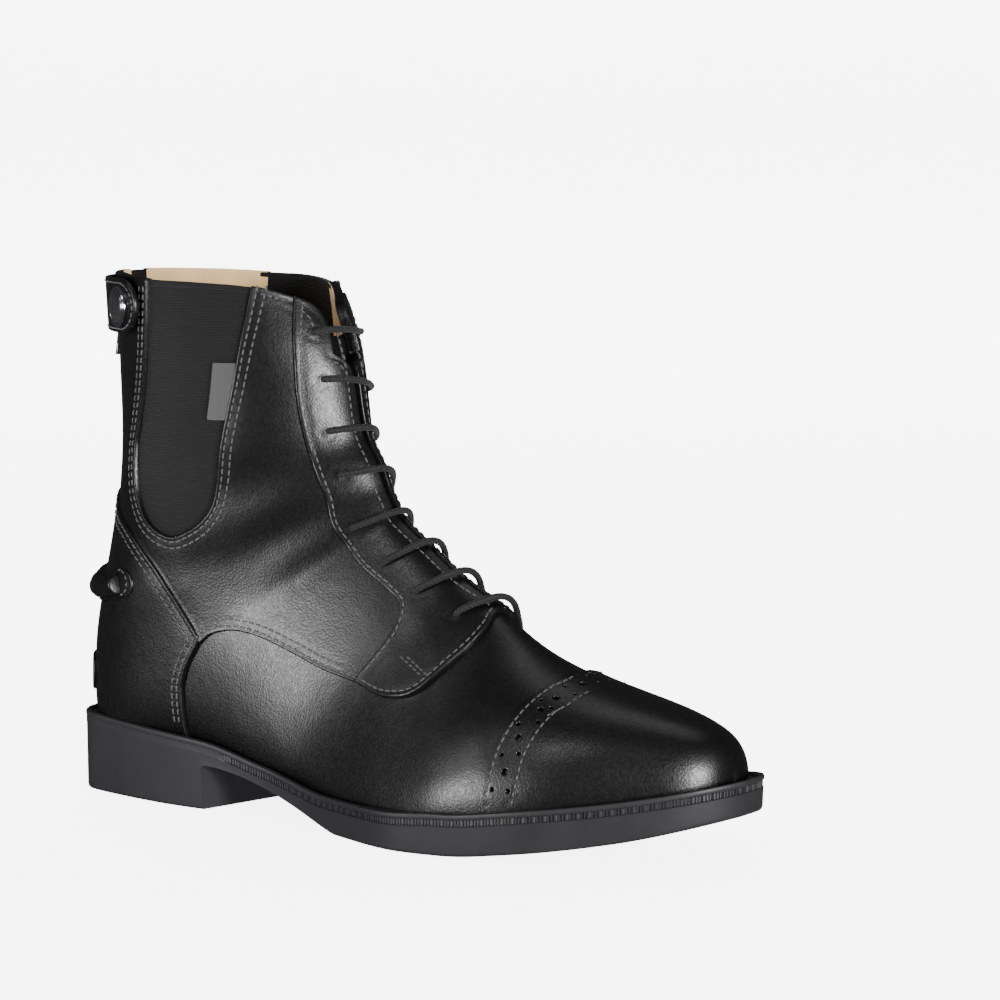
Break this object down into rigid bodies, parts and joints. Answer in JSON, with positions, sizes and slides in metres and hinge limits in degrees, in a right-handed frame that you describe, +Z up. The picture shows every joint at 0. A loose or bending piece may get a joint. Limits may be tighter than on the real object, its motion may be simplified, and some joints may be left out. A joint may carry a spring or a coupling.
{
  "type": "paddock boot",
  "caption": "Right-foot ankle-high leather riding boot with laced front, elastic side gores, back zip, snap strap, spur rest, perforated toe cap and a moulded rubber sole with a block heel.",
  "frame": {"origin": "the middle of the heel's tread, on the floor", "axes": "+X towards the toe, +Y to the wearer's left, the inner side of this right boot, +Z up"},
  "size_m": [0.287, 0.0988, 0.2],
  "materials": {
    "black_leather": "smooth semi-gloss, fine grain",
    "sole_rubber": "moulded matt",
    "lining_leather": "undyed, matt",
    "elastic_webbing": "fine horizontal ribs",
    "label_weave": "plain weave",
    "black_zip": "moulded coil on woven tape",
    "black_enamel": "gloss",
    "chrome": "polished",
    "lace_cord": "braided"
  },
  "bodies": {
    "boot": {"sole": "sole_rubber", "insole": "lining_leather", "upper": "black_leather", "tongue": "black_leather", "toe_cap": "black_leather", "heel_counter": "black_leather", "facing_outer": "black_leather", "facing_inner": "black_leather", "gore_outer": "elastic_webbing", "gore_inner": "elastic_webbing", "gore_label": "label_weave", "zip": "black_zip", "zip_slider": "black_enamel", "snap_strap": "black_leather", "snap_ring": "chrome", "snap_cap": "black_enamel", "spur_rest": "black_leather", "heel_tab": "black_leather", "lace_bar_1": "lace_cord", "lace_bar_2": "lace_cord", "lace_bar_3": "lace_cord", "lace_bar_4": "lace_cord", "lace_bar_5": "lace_cord", "lace_bar_6": "lace_cord", "lace_bar_7": "lace_cord", "lace_bar_8": "lace_cord"},
    "zip_pull": {"zip_pull": "black_enamel"}
  },
  "joints": [
    {"name": "pull_hinge", "type": "hinge", "parent": "boot", "child": "zip_pull", "pos_m": [-0.02839, 0, 0.17571], "axis": [0, 1, 0], "range_deg": [0, 100]}
  ]
}
